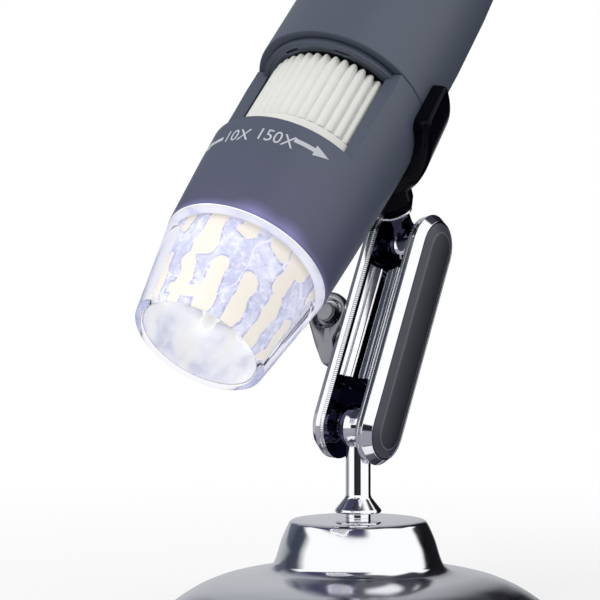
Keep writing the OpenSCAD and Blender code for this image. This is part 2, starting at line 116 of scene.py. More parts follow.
def shade_smooth(me):
    me.polygons.foreach_set("use_smooth", [True] * len(me.polygons))


def make(name, shape, M, body, mats, slot="", node="", smooth=True, weighted=True, bevel=None,
         face_mats=None):
    """A piece of a shape in frame M. It rides on the body and stands for the CAD node, if one is named.

    bevel is its edges' width, least angle and number of segments. Without weighted normals the faces
    beside a bevelled edge keep their own shading.
    """
    me = mesh_of(name, shape, M, face_mats)
    ob = add(name, me)
    for m in mats:
        me.materials.append(m)
    if smooth:
        shade_smooth(me)
    if bevel:
        width, angle, segments = bevel
        b = ob.modifiers.new("edge", "BEVEL")
        b.width = width * MM
        b.segments = segments
        b.limit_method = "ANGLE"
        b.angle_limit = math.radians(angle)
        b.harden_normals = not weighted
    if smooth and weighted:
        w = ob.modifiers.new("normals", "WEIGHTED_NORMAL")
        w.keep_sharp = True
        w.weight = 60
    if node:
        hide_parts(node)
    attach(ob, body)
    return ob


def cut(ob, shape, M):
    """Takes a closed shape out of a piece for good, before its bevel."""
    tool = add("cutter", mesh_of("cutter", shape, M))
    for m in ob.modifiers:
        m.show_viewport = False
    c = ob.modifiers.new("cut", "BOOLEAN")
    c.operation = "DIFFERENCE"
    c.object = tool
    c.solver = "EXACT"
    bpy.context.view_layer.update()
    new = bpy.data.meshes.new_from_object(ob.evaluated_get(bpy.context.evaluated_depsgraph_get()))
    ob.modifiers.remove(c)
    old, ob.data = ob.data, new
    bpy.data.meshes.remove(old)
    for m in ob.modifiers:
        m.show_viewport = True
    bpy.data.objects.remove(tool)
    shade_smooth(new)


def fillet(points, closed=False, seg=6):
    """Rounds the corners of a 2D outline. Each point is (x, y) or (x, y, radius)."""
    straight = PI - 0.02
    out = []
    n = len(points)
    for i, p in enumerate(points):
        r = p[2] if len(p) > 2 else 0
        a, b = (Vector((q[0] - p[0], q[1] - p[1])) for q in (points[i - 1], points[(i + 1) % n]))
        room = 0.48 * min(a.length, b.length)
        a.normalize()
        b.normalize()
        angle = math.acos(max(-1, min(1, a.dot(b))))
        if r <= 0 or angle > straight or (not closed and i in (0, n - 1)):
            out.append((p[0], p[1]))
            continue
        t = min(r / math.tan(angle / 2), room)
        r = t * math.tan(angle / 2)
        corner = Vector((p[0], p[1]))
        centre = corner + (a + b).normalized() * (r / math.sin(angle / 2))
        start = corner + a * t - centre
        end = corner + b * t - centre
        a0 = math.atan2(start.y, start.x)
        turn = (math.atan2(end.y, end.x) - a0 + PI) % (2 * PI) - PI
        for k in range(seg + 1):
            w = a0 + turn * k / seg
            out.append((centre.x + r * math.cos(w), centre.y + r * math.sin(w)))
    return out


def curve(points, per):
    """Points of a smooth curve through the given ones, with so many per stretch."""
    P = [points[0]] + points + [points[-1]]
    out = []
    for a, b, c, d in zip(P, P[1:], P[2:], P[3:]):
        for k in range(per):
            t = k / per
            out.append(tuple(0.5 * (
                2 * b[i] + (c[i] - a[i]) * t + (2 * a[i] - 5 * b[i] + 4 * c[i] - d[i]) * t * t
                + (3 * b[i] - a[i] - 3 * c[i] + d[i]) * t ** 3) for i in (0, 1)))
    return out + [points[-1]]


def ring(radii, z):
    """A level loop of points at even turns, one for each radius."""
    n = len(radii)
    return [(r * math.cos(2 * PI * i / n), r * math.sin(2 * PI * i / n), z) for i, r in enumerate(radii)]


def lathe(profile, n, axis="Z"):
    """A closed profile of (radius, height) turned about an axis."""
    points, faces, rings = [], [], []
    for r, z in profile:
        new = [(0, 0, z)] if r < 1e-6 else ring([r] * n, z)
        rings.append(range(len(points), len(points) + len(new)))
        points += new
    for A, B in zip(rings, rings[1:] + rings[:1]):
        if len(A) == 1 and len(B) == 1:
            continue
        for i in range(n):
            j = (i + 1) % n
            if len(A) == 1:
                faces.append((A[0], B[j], B[i]))
            elif len(B) == 1:
                faces.append((A[i], A[j], B[0]))
            else:
                faces.append((A[i], A[j], B[j], B[i]))
    if axis == "X":
        points = [(z, x, y) for x, y, z in points]
    elif axis == "Y":
        points = [(y, z, x) for x, y, z in points]
    return points, faces


def loft(loops, closed=False):
    """Joins loops of the same number of points into one closed skin."""
    n, count = len(loops[0]), len(loops)
    points = [p for loop in loops for p in loop]
    faces = []
    for k in range(count if closed else count - 1):
        a, b = k * n, ((k + 1) % count) * n
        for i in range(n):
            j = (i + 1) % n
            faces.append((a + i, a + j, b + j, b + i))
    if not closed:
        faces += [tuple(reversed(range(n))), tuple(range((count - 1) * n, count * n))]
    return points, faces


def moved(shape, by):
    return [tuple(c + d for c, d in zip(p, by)) for p in shape[0]], shape[1]


def mirrored(shape, side):
    return [(side * x, y, z) for x, y, z in shape[0]], shape[1]


def stadium(x, r, n=48):
    """A loop round the arm, of half width r, at x."""
    return [(x, r * math.sin(start + PI * i / n), centre + r * math.cos(start + PI * i / n))
            for start, centre in ((-PI / 2, ARM_LEN), (PI / 2, 0)) for i in range(n + 1)]


def ball(centre, r, n=64, m=32):
    arc = [(r * math.sin(PI * k / m), -r * math.cos(PI * k / m)) for k in range(1, m)]
    return moved(lathe([(0, -r)] + arc + [(0, r)], n), centre)


def rod(r, x0, x1, z, n):
    """A rod along X at height z."""
    return moved(lathe([(0, x0), (r, x0), (r, x1), (0, x1)], n, "X"), (0, 0, z))


def box(x0, x1, y0, y1, z0, z1):
    points = [(x, y, z) for x in (x0, x1) for y in (y0, y1) for z in (z0, z1)]
    return points, [(0, 1, 3, 2), (4, 6, 7, 5), (0, 4, 5, 1), (2, 3, 7, 6), (0, 2, 6, 4), (1, 5, 7, 3)]


# Node trees
class Nodes:
    """Short calls that add nodes. An input takes a number, a colour or another node's output."""

    def __init__(self, owner):
        owner.use_nodes = True
        self.tree = owner.node_tree

    def put(self, value, socket):
        if isinstance(value, bpy.types.NodeSocket):
            self.tree.links.new(value, socket)
        elif socket.type == "RGBA":
            socket.default_value = (*value, 1)
        else:
            socket.default_value = value

    def node(self, kind, inputs, **settings):
        n = self.tree.nodes.new("ShaderNode" + kind)
        for key, value in settings.items():
            setattr(n, key, value)
        for key, value in inputs.items():
            self.put(value, n.inputs[key])
        return n

    def math(self, operation, first, *rest):
        """One value through a math node, or several joined by it one after another."""
        if not rest:
            return self.node("Math", {0: first}, operation=operation).outputs[0]
        for value in rest:
            first = self.node("Math", {0: first, 1: value}, operation=operation).outputs[0]
        return first

    def off(self, value, centre):
        """How far a value is from a centre."""
        return self.math("ABSOLUTE", self.math("SUBTRACT", value, centre))

    def length(self, *parts):
        return self.math("SQRT", self.math("ADD", *(self.math("MULTIPLY", p, p) for p in parts)))

    def xyz(self, vector):
        return self.node("SeparateXYZ", {0: vector}).outputs

    def range(self, value, low, high, start=0.0, end=1.0, blend="LINEAR"):
        """Low where the value is at start, high where it is at end, and between them on the way."""
        inputs = {"Value": value, "From Min": start, "From Max": end, "To Min": low, "To Max": high}
        return self.node("MapRange", inputs, interpolation_type=blend).outputs["Result"]

    def ramp(self, value, stops):
        """Colours at stops of (place, colour)."""
        r = self.node("ValToRGB", {"Fac": value})
        elements = r.color_ramp.elements
        while len(elements) < len(stops):
            elements.new(0.5)
        for e, (place, color) in zip(elements, stops):
            e.position = place
            e.color = (*color, 1)
        return r.outputs["Color"]

    def mix(self, share, a, b):
        return self.node("Mix", {0: share, 6: a, 7: b}, data_type="RGBA").outputs[2]

    def mix_shader(self, share, a, b):
        return self.node("MixShader", {0: share, 1: a, 2: b}).outputs[0]

    def shader(self, kind, color, **inputs):
        return self.node(kind, {"Color": color, **inputs}).outputs[0]

    def rays(self):
        """1 for what the camera sees, also through clear walls, and 1 for what a gloss shows."""
        path = self.node("LightPath", {}).outputs
        inside = self.math("GREATER_THAN", path["Transmission Depth"], 0.5)
        seen = self.math("MAXIMUM", path["Is Camera Ray"], path["Is Transmission Ray"], inside)
        return seen, path["Is Glossy Ray"]


class Mat(Nodes):
    """A material of one Principled shader. Sockets that are the same all over are given by name."""

    def __init__(self, name, sockets=()):
        self.m = bpy.data.materials.new(name)
        super().__init__(self.m)
        self.b = self.tree.nodes["Principled BSDF"]
        for key, value in dict(sockets).items():
            self.put(value, self.b.inputs[key])

    def mm(self, R=M_TABLE):
        """The place on the piece in millimetres of frame R."""
        back = R.inverted() @ Matrix.Scale(1 / MM, 4)
        place = self.node("TexCoord", {}).outputs["Object"]
        return self.node("Mapping", {
            "Vector": place, "Location": back.to_translation(), "Scale": back.to_scale(),
            "Rotation": back.to_quaternion().to_euler()}).outputs[0]

    def stretched(self, place, scale):
        return self.node("Mapping", {"Vector": place, "Scale": scale}).outputs[0]

    def noise(self, scale, detail, rough=0.55, vector=None):
        inputs = {"Scale": scale, "Detail": detail, "Roughness": rough, "Vector": vector or self.mm()}
        return self.node("TexNoise", inputs).outputs["Fac"]

    def into(self, output, *names):
        for name in names:
            self.put(output, self.b.inputs[name])

    def color(self, output):
        self.into(output, "Base Color")

    def rough(self, noise, low, high, start=0.3, end=0.7):
        self.into(self.range(noise, low, high, start, end), "Roughness")

    def bump(self, height, strength, depth):
        inputs = {"Strength": strength, "Distance": depth * MM, "Height": height}
        self.into(self.node("Bump", inputs).outputs[0], "Normal")


# Metals
METAL = {"Metallic": 1.0}
CHROME_COLOR = (0.86, 0.87, 0.89)
CHROME_ROUGH = (0.035, 0.09)
SCRATCH = (9.0, 2)  # scale and detail of fine polishing marks
BRIM_END = (7.9, 9.2)  # height over which the base's brim turns into its crown


def shade(color, share):
    return tuple(c * share for c in color)


def chrome(name, color=CHROME_COLOR, rough=CHROME_ROUGH, scratch=0.03):
    """Plated metal with an uneven gloss and fine polishing marks."""
    m = Mat(name, METAL)
    n = m.noise(0.35, 3)
    m.color(m.mix(n, shade(color, 0.97), color))
    m.rough(n, *rough, 0.35)
    m.bump(m.noise(*SCRATCH), scratch, 0.004)
    return m.m


def brushed(name, color, rough=(0.22, 0.34)):
    """Metal with a brushed grain."""
    m = Mat(name, METAL)
    n = m.noise(1.6, 5, vector=m.stretched(m.mm(), (1.2, 1.2, 9.0)))
    m.color(m.mix(n, shade(color, 0.9), color))
    m.rough(n, *rough)
    m.bump(n, 0.10, 0.01)
    return m.m


def base_chrome():
    """Chrome with fine turning lines on the low brim, and a slightly softer crown."""
    m = Mat("base_chrome", METAL)
    x, y, z = m.xyz(m.mm())
    n = m.noise(0.35, 3)
    m.color(m.mix(n, (0.83, 0.84, 0.86), CHROME_COLOR))
    far = m.node("CombineXYZ", {"X": m.length(x, y)}).outputs[0]
    lines = m.noise(2.2, 3, 0.7, far)
    brim = m.range(z, 1.0, 0.0, *BRIM_END)
    turned = m.math("MULTIPLY", brim, m.range(lines, 0.05, 0.16, 0.3, 0.7))
    crown = m.math("MULTIPLY", m.range(z, 0.0, 0.06, *BRIM_END), m.range(z, 1.0, 0.0, 16.6, 17.4))
    m.into(m.math("ADD", m.range(n, *CHROME_ROUGH, 0.35, 0.7), turned, crown), "Roughness")
    m.bump(m.math("MULTIPLY", brim, lines), 0.25, 0.02)
    return m.m


def painted_shade_chrome(name, R, mask, hatched=False, rough=CHROME_ROUGH):
    """Chrome with painted shade in its recesses, where mask(m, x, y, z) is 1. The plates' edges have a
    hatched band.
    """
    m = Mat(name, METAL)
    place = m.mm(R)
    x, y, z = m.xyz(place)
    # painted shade: where the mask is 1 the chrome takes a dark navy colour
    m.color(m.mix(mask(m, x, y, z), (0.85, 0.86, 0.88), (0.065, 0.065, 0.11)))
    gloss = m.range(m.noise(0.35, 3), *rough, 0.35, 0.7)
    if hatched:
        out = m.math("ABSOLUTE", x)
        band = m.math("MULTIPLY", m.range(out, 0, 1, 3.34, 3.42), m.range(out, 1, 0, 3.94, 4.02))
        wave = m.node("TexWave", {"Scale": 0.8, "Distortion": 1.5, "Vector": place}, bands_direction="Z")
        gloss = m.math("ADD", gloss, m.math("MULTIPLY", band, 0.07))
        m.bump(m.math("MULTIPLY", band, wave.outputs["Fac"]), 0.35, 0.08)
    else:
        m.bump(m.noise(*SCRATCH), 0.06, 0.004)
    m.into(gloss, "Roughness")
    return m.m


def plate_painted_shade(m, x, y, z):
    """Painted shade on the inner face and the two ball seats."""
    seats = [m.range(m.length(x, y, along), 1, 0, BALL_R + 0.10, BALL_R + 0.14)
             for along in (z, m.math("SUBTRACT", z, ARM_LEN))]
    return m.math("MAXIMUM", m.range(m.math("ABSOLUTE", x), 1, 0, 3.32, 3.34), *seats)


def boss_painted_shade(m, x, y, z):
    """Painted shade on the boss's lower end and in the round pocket at the upper ball."""
    pocket = m.range(m.length(x, m.math("SUBTRACT", z, ARM_LEN)), 1, 0, 6.74, 6.78)
    return m.math("MAXIMUM", pocket, m.range(z, 1, 0, 7.82, 7.86))


def stud_painted_shade(m, x, y, z):
    """Painted shade on the neck between the ball and the flange."""
    return m.math("MULTIPLY", m.range(x, 0, 1, -7.36, -7.30), m.range(x, 1, 0, -3.1, -2.6))


# Plastics, paint and rubber
def plastic(name, color, rough, grain, bump, dark=0.9, specular=0.5):
    """Moulded plastic or paint with a cloudy tone and a fine grain."""
    m = Mat(name, {"Specular IOR Level": specular})
    n = m.noise(0.25, 3)
    m.color(m.mix(n, shade(color, dark), color))
    m.rough(n, *rough)
    m.bump(m.noise(grain, 3), bump, 0.02)
    return m.m


def inlay_material():
    """Satin dark slate with painted shade darkening it towards one side, and a thin painted highlight on its
    bevel's ridge.
    """
    ridge_r = 3.40
    m = Mat("inlay_coat")
    _, y, z = m.xyz(m.mm(M_ARM))
    past = m.math("SUBTRACT", z, m.math("MINIMUM", m.math("MAXIMUM", z, 0.0), ARM_LEN))
    far = m.length(y, past)
    n = m.noise(0.25, 3)
    # painted shade: the flat face darkens from one side to the other
    flat = m.mix(m.range(y, 0.0, 1.0, -3.4, 3.4), (0.066, 0.074, 0.086), (0.020, 0.022, 0.026))
    bevel = m.mix(n, (0.058, 0.066, 0.084), (0.066, 0.074, 0.092))
    color = m.mix(m.range(far, 0.0, 1.0, 3.30, 3.42), flat, bevel)
    # painted highlight: a light line along the ridge of the bevel
    m.color(m.mix(m.range(m.off(far, ridge_r), 0.55, 0.0, 0.04, 0.16), color, (0.26, 0.27, 0.30)))
    m.rough(n, 0.30, 0.38)
    m.bump(m.noise(6.0, 3), 0.05, 0.02)
    return m.m


def ivory_material():
    """Ivory plastic with the dark joint line between the wheel's ribs and its flange."""
    joint_z = 41.66
    m = Mat("ivory_wheel")
    z = m.xyz(m.mm(M_SCOPE))["Z"]
    n = m.noise(0.25, 3)
    ivory = m.mix(n, (0.82, 0.82, 0.77), (0.86, 0.86, 0.81))
    m.color(m.mix(m.range(m.off(z, joint_z), 1.0, 0.0, 0.20, 0.28), ivory, (0.16, 0.16, 0.14)))
    m.rough(n, 0.36, 0.48)
    m.bump(m.noise(5.0, 3), 0.03, 0.02)
    return m.m


def board_material():
    """Green circuit board with raised tracks under a clear coat."""
    m = Mat("board_green", {"Coat Weight": 0.35, "Coat Roughness": 0.15})
    cells = m.node("TexVoronoi", {"Scale": 0.6, "Vector": m.mm(M_SCOPE)}, feature="DISTANCE_TO_EDGE")
    track = m.range(cells.outputs["Distance"], 1.0, 0.0, 0.02, 0.06)
    n = m.noise(0.8, 3)
    green = m.mix(n, (0.010, 0.075, 0.035), (0.016, 0.11, 0.05))
    m.color(m.mix(track, green, (0.05, 0.20, 0.10)))
    m.rough(n, 0.3, 0.45, 0.0, 1.0)
    m.bump(track, 0.1, 0.03)
    return m.m


def casing_material():
    """Satin slate paint, with the violet glow of the clear cap's lamps painted on its front end, most at two
    spots.
    """
    glow_spots_at = (30.0, 55.8)  # degrees round the barrel
    rim_r, rim_z = 15.0, 18.4
    m = Mat("casing")
    x, y, z = m.xyz(m.mm(M_SCOPE))
    color = m.mix(m.noise(0.09, 2), (0.083, 0.101, 0.137), (0.092, 0.108, 0.146))
    # painted glow: a violet tint from the cap's lamps, fading along the barrel
    near = m.ramp(m.range(z, 0.0, 1.0, 18.0, 46.0),
                  [(0.0, (1, 1, 1)), (0.35, (0.5, 0.5, 0.5)), (1.0, (0, 0, 0))])
    color = m.mix(near, color, (0.102, 0.107, 0.180))
    turn = m.math("ARCTAN2", y, x)
    # painted glow: two violet spots at the rim beside the cap
    for centre in glow_spots_at:
        aside = m.math("MULTIPLY", m.math("SUBTRACT", turn, math.radians(centre)), rim_r * 0.55)
        far = m.length(aside, m.math("SUBTRACT", z, rim_z))
        painted_glow = m.math("POWER", m.range(far, 0.75, 0.0, 0.0, 3.0), 1.5)
        color = m.mix(painted_glow, color, (0.40, 0.38, 0.80))
    # painted glow: a violet band at the rim next to the cap
    m.color(m.mix(m.range(z, 0.45, 0.0, 18.3, 19.5), color, (0.30, 0.29, 0.60)))
    grain = m.noise(14.0, 2)
    m.rough(grain, 0.40, 0.50)
    m.bump(grain, 0.05, 0.01)
    return m.m


# The clear cap, the lamps and the lenses
def cap_wall():
    """Clear plastic with a faint violet body."""
    m = Mat("clear_cap", {"Transmission Weight": 1.0, "IOR": 1.10, "Base Color": (0.96, 0.96, 1.0)})
    n = m.noise(0.5, 3)
    m.rough(n, 0.01, 0.06, 0.4, 0.75)
    m.bump(n, 0.04, 0.1)
    body = m.shader("VolumeAbsorption", (0.66, 0.67, 0.88), Density=38.0)
    m.put(body, m.tree.nodes["Material Output"].inputs["Volume"])
    return m.m


def around_axis(m, place):
    """The way round the frosted layer and the height along it, in millimetres, both warped by noise."""
    swirl = m.node("TexNoise", {"Scale": 0.22, "Detail": 1.5, "Vector": place}).outputs["Color"]
    off = m.node("VectorMath", {0: swirl, 1: (0.5, 0.5, 0.5)}, operation="SUBTRACT").outputs[0]
    warped = m.node("VectorMath", {0: off, 1: (3.0, 3.0, 3.0), 2: place}, operation="MULTIPLY_ADD").outputs[0]
    x, y, z = m.xyz(warped)
    return m.math("MULTIPLY", m.math("ARCTAN2", y, x), FROST_R), z


def capsules(m, s, z, count, turn, low, high, half_w):
    """Distance to the nearest of so many upright capsules of painted light round the cap. It is below 0
    inside one.
    """
    period = 2 * PI * FROST_R / count
    part = m.math("FRACT", m.math("ADD", m.math("DIVIDE", s, period), turn))
    aside = m.math("MULTIPLY", m.off(part, 0.5), period)
    past = m.math("MAXIMUM", m.math("SUBTRACT", low, z), m.math("SUBTRACT", z, high), 0.0)
    return m.math("SUBTRACT", m.length(aside, past), half_w)


def cap_frost():
    """The frosted layer seen through the clear wall: painted cream pillars of lamp light on speckled
    lavender.
    """
    # painted glow: the layer faintly emits its own colours
    m = Mat("clear_cap_frost", {"Roughness": 0.5, "Emission Strength": 0.05})
    place = m.mm(M_SCOPE)
    s, z = around_axis(m, place)
    # Pillars of painted light from the lens end, then long and short ones from the casing, and a low row cut
    # to a band
    far = [capsules(m, s, z, *row) for row in (
        (13, 0.597, 1.0, 8.6, 1.5), (5, 0.444, 11.2, 18.5, 1.75), (13, 0.380, 16.2, 18.5, 1.5),
        (3, 0.458, 2.6, 3.2, 4.2))]
    far[3] = m.math("MAXIMUM", far[3], m.math("SUBTRACT", m.off(z, 2.9), 1.1))
    far = m.math("MINIMUM", *far)
    inside = m.range(far, 1.0, 0.0, -0.10, 0.10)
    edge = m.range(m.off(far, 0.18), 1.0, 0.0, 0.02, 0.24)
    cloud = m.noise(0.24, 3, vector=place)
    fleck = m.noise(0.8, 4, 0.65, place)
    speck = m.noise(5.0, 3, 0.8, place)
    color = m.mix(m.range(cloud, 0.0, 1.0, 0.40, 0.60), (0.62, 0.635, 0.755), (0.80, 0.82, 0.88))
    color = m.mix(m.range(fleck, 0.0, 0.75, 0.5, 0.66), color, (0.92, 0.93, 0.96))
    dark = m.math("MULTIPLY", m.range(speck, 0.0, 1.0, 0.50, 0.64), m.range(fleck, 0.85, 0.0, 0.40, 0.60))
    color = m.mix(dark, color, (0.36, 0.37, 0.56))
    broken = m.math("MULTIPLY", edge, m.range(fleck, 0.9, 0.1, 0.42, 0.60))
    color = m.mix(broken, color, (0.36, 0.36, 0.58))
    line = m.range(m.off(m.noise(0.13, 1, vector=place), 0.5), 1.0, 0.0, 0.004, 0.012)
    color = m.mix(m.math("MULTIPLY", line, 0.8), color, (0.97, 0.97, 0.97))
    # painted light: the cream colour fills the pillars where inside is 1
    cream = m.mix(m.range(fleck, 0.0, 1.0, 0.35, 0.7), (0.90, 0.84, 0.66), (0.91, 0.86, 0.71))
    m.into(m.mix(inside, color, cream), "Base Color", "Emission Color")
    return m.m


def cap_inside():
    """The frosted layer's inner face: a painted glow of lamp light, cloudy white with soft painted shade and
    faint cream streaks.
    """
    m = Mat("clear_cap_inner", {"Roughness": 0.5, "Emission Strength": 0.32})
    place = m.mm(M_SCOPE)
    # painted shade: soft lavender clouds darken the glowing white
    color = m.ramp(m.noise(0.16, 2, vector=place),
                   [(0.34, (0.66, 0.68, 0.80)), (0.50, (0.86, 0.87, 0.92)), (0.66, (0.95, 0.95, 0.96))])
    streak = m.noise(0.35, 2, vector=m.stretched(place, (1, 1, 0.12)))
    color = m.mix(m.range(streak, 0.0, 0.6, 0.55, 0.66), color, (0.95, 0.92, 0.84))
    m.into(color, "Base Color", "Emission Color")
    return m.m


def led_material():
    m = Mat("led_lens", {"Emission Color": (1.0, 0.97, 0.90), "Emission Strength": 0.3})
    n = m.noise(1.5, 2)
    m.color(m.mix(n, (0.93, 0.93, 0.93), (0.93, 0.92, 0.90)))
    m.rough(n, 0.15, 0.3, 0.0, 1.0)
    return m.m


def lens_material():
    m = Mat("lens_glass", {"Transmission Weight": 1.0, "IOR": 1.52, "Base Color": (0.93, 0.97, 1.0),
                           "Coat Weight": 1.0, "Coat Roughness": 0.02})
    m.rough(m.noise(0.4, 2), 0.0, 0.03, 0.0, 1.0)
    return m.m


CHROME = chrome("chrome")
LEVER = chrome("lever_chrome", (0.25, 0.255, 0.28), (0.24, 0.36), 0.06)
DISH = chrome("dish_chrome", (0.62, 0.63, 0.66), (0.05, 0.10))
# Chrome with painted shade in its recesses and on the stud's neck
CHROME_ARM = painted_shade_chrome("arm_chrome", M_ARM, plate_painted_shade, True)
CHROME_BOSS = painted_shade_chrome("boss_chrome", M_ARM, boss_painted_shade, rough=(0.05, 0.12))
CHROME_STUD = painted_shade_chrome("stud_chrome", M_STUD, stud_painted_shade)
INLAY = inlay_material()
BLACK_GLOSS = plastic("clip_black", (0.002, 0.002, 0.005), (0.12, 0.18), 3.0, 0.006, 0.8, 0.09)
RUBBER = plastic("black_rubber", (0.018, 0.018, 0.019), (0.6, 0.75), 7.0, 0.12)
PRINT = plastic("mark_print", (0.62, 0.64, 0.68), (0.45, 0.55), 8.0, 0.02, 0.92)
CASING = casing_material()
IVORY = ivory_material()
CLEAR = cap_wall()
SLOT_MATERIALS = {
    "chrome": CHROME,
    "iron": plastic("cast_iron", (0.07, 0.07, 0.075), (0.6, 0.8), 3.0, 0.35, 0.7),
    "zinc_screw": brushed("zinc_screw", (0.66, 0.67, 0.70), (0.25, 0.4)),
    "foot_rubber": RUBBER,
    "inlay": INLAY,
    "satin_steel": brushed("satin_steel", (0.60, 0.61, 0.64)),
    "lever_chrome": LEVER,
    "clip_black": BLACK_GLOSS,
    "clear_cap": CLEAR,
    "casing": CASING,
    "black_rubber": RUBBER,
    "black_plastic": plastic("black_plastic", (0.012, 0.012, 0.015), (0.42, 0.55), 6.0, 0.06),
    "board_green": board_material(),
    "board_white": plastic("board_white", (0.80, 0.82, 0.85), (0.25, 0.4), 5.0, 0.03, 0.93),
    "led_lens": led_material(),
    "chip_black": plastic("chip_black", (0.018, 0.018, 0.022), (0.32, 0.45), 8.0, 0.05),
    "ivory_wheel": IVORY,
    "lens_glass": lens_material(),
    "button_dark": plastic("button_dark", (0.030, 0.034, 0.042), (0.36, 0.46), 6.0, 0.05),
}
for part in frame["record"]["subparts"]:
    materials = frame["nodes"][part["node"]].data.materials
    materials.clear()
    materials.append(SLOT_MATERIALS[part["material_slot"]])


# The stand
def base():
    """The base's shell: a slightly domed crown, a hollow side, a low brim and a thin wall beneath."""
    bore, floor, wall = 2.42, 12.6, 16.1  # bearing's radius, its underside, underside of the crown
    crown = [(bore, 17.82), (3.2, 17.86), (6, 17.82), (9, 17.72), (11, 17.60)]
    side = [(12.3, 17.42), (12.75, 17.18), (13.08, 16.7), (13.73, 15.35), (14.47, 13.5), (15.03, 11.6),
            (15.5, 10.2), (15.95, 9.3), (16.8, 8.55), (18.0, 8.12), (19.7, 7.78), (22.9, 7.2), (26.3, 6.35),
            (28.8, 5.4), (30.7, 4.5), (32.6, 3.35), (34.2, 2.25), (35.05, 1.6)]
    under = [(35.4, 1.2), (35.5, 0.95), (35.3, 0.4, 0.2), (33.8, 0.4, 0.1), (33.8, 1.6), (30.6, 3.0),
             (29.5, 3.6), (22.9, 5.9), (19.0, 6.3), (14.9, 6.9), (13.9, 10.1), (11.4, wall), (5, wall),
             (5, floor), (bore, floor)]
    prof = curve(crown, 4) + curve(side, 5) + fillet(under)
    make("base_shell_skin", lathe(prof, 256), M_TABLE, "base", [base_chrome()], "chrome", "base_shell")


NECK_DROP = math.sqrt(BALL_R * BALL_R - NECK_R * NECK_R)


def ball_arc(centre, n=40):
    """Profile of a ball from its neck up to its top."""
    low = -math.asin(NECK_DROP / BALL_R)
    turns = [low + (PI / 2 - low) * k / n for k in range(1, n)]
    return [(BALL_R * math.cos(a), centre + BALL_R * math.sin(a)) for a in turns] + [(0.0, centre + BALL_R)]


def post():
    """The turned post with its conical collar and the lower ball."""
    foot, collar = 12.5, 18.8
    prof = [(0, foot)] + fillet([
        (1.0, foot), (POST_R, foot, 0.1), (POST_R, collar, 0.3), (4.2, collar, 0.15), (4.4, 19.15, 0.15),
        (4.25, 19.5, 0.3), (POST_R, 21.8, 1.6), (POST_R, 31.4, 1.2), (NECK_R, BALL_Z - NECK_DROP)])
    make("ball_post_turned", lathe(prof + ball_arc(BALL_Z), 128), M_TABLE, "post", [CHROME], "chrome",
         "ball_post")


base()
post()

# The arm. X is across its plates, Z along it from the lower ball.
PLATE_IN, PLATE_OUT = 3.3, 6.6
PLATE_HALF_W, RIM_X = 6.7, 5.1  # widest up to RIM_X, where the bevelled rim begins
PAD_HALF_W, PAD_TOP = 5.15, 7.3
PAD_CROWN, PAD_FLAT = 0.08, 3.3  # rise of a pad's face, and half width over which it is crowned


def draft(side, x, half_w, wide_x):
    """Half width at x. The right half's narrow faces slope towards the middle, the left one's are flat."""
    return half_w - (0.36 * (wide_x - x) if side > 0 else 0.0)


def plate(side, way):
    """One cast plate: a ribbed edge, a bevelled rim and the bed of its pad."""
    def w(x, depth=0.0):
        return draft(side, x, PLATE_HALF_W, RIM_X) - depth
    section = fillet([
        (PLATE_IN, 3.0), (PLATE_IN, w(PLATE_IN), 0.08), (4.03, w(4.03), 0.03), (4.06, w(4.06, 0.16), 0.03),
        (4.14, w(4.14, 0.16), 0.03), (4.17, w(4.17), 0.03), (RIM_X, w(RIM_X), 0.2), (PLATE_OUT, 5.5, 0.14),
        (PLATE_OUT, 5.22, 0.04), (6.0, 5.2, 0.04), (6.0, 3.0)], seg=5)
    shape = mirrored(loft([stadium(x, r) for x, r in section]), side)
    ob = make(f"arm_plate_{way}_body", shape, M_ARM, "arm", [CHROME_ARM], "chrome", f"arm_plate_{way}")
    for z in (0, ARM_LEN):
        cut(ob, ball((0, 0, z), BALL_R + 0.06), M_ARM)


def boss(side, way):
    """The inner boss with a rib along each edge and a round pocket at the upper ball."""
    foot, pocket_r = 7.75, 6.7
    inner, outer = 1.97, 3.02  # where its two ribs are widest
    section = fillet([
        (0.45, 4.2), (0.45, draft(side, 0.45, 5.9, inner), 0.4), (inner, 5.9, 0.06), (2.0, 5.6, 0.04),
        (2.2, 5.6, 0.04), (2.23, draft(side, 2.23, 6.3, outer), 0.06), (outer, 6.3, 0.06), (3.05, 5.8, 0.04),
        (3.9, 5.8)], seg=5)
    loops = []
    for x, y in section:
        top = ARM_LEN - math.sqrt(pocket_r ** 2 - x * x)
        loops.append([(x, -y, foot), (x, y, foot), (x, y, top), (x, -y, top)])
    make(f"arm_boss_{way}", mirrored(loft(loops), side), M_ARM, "arm", [CHROME_BOSS], "chrome",
         bevel=(0.1, 60, 2))


def inlay(side, way):
    """A pad let into a plate's outer face. The left one is open round the lever's washer."""
    section = fillet([(6.02, 2.0), (6.02, PAD_HALF_W, 0.02), (6.58, PAD_HALF_W, 0.05),
                      (PAD_TOP - PAD_CROWN, 3.42, 0.3)], seg=4)
    section += [(PAD_TOP - PAD_CROWN * (k / 5) ** 2, PAD_FLAT * k / 5) for k in (4, 3, 2, 1)]
    section.append((PAD_TOP, 0.2))
    shape = mirrored(loft([stadium(x, r) for x, r in section]), side)
    ob = make(f"arm_inlay_{way}_pad", shape, M_ARM, "arm", [INLAY], "inlay", f"arm_inlay_{way}")
    if side < 0:
        cut(ob, rod(3.7, -12, 1, CLAMP_Z, 96), M_ARM)


for build in (plate, boss, inlay):
    build(1, "right")
    build(-1, "left")


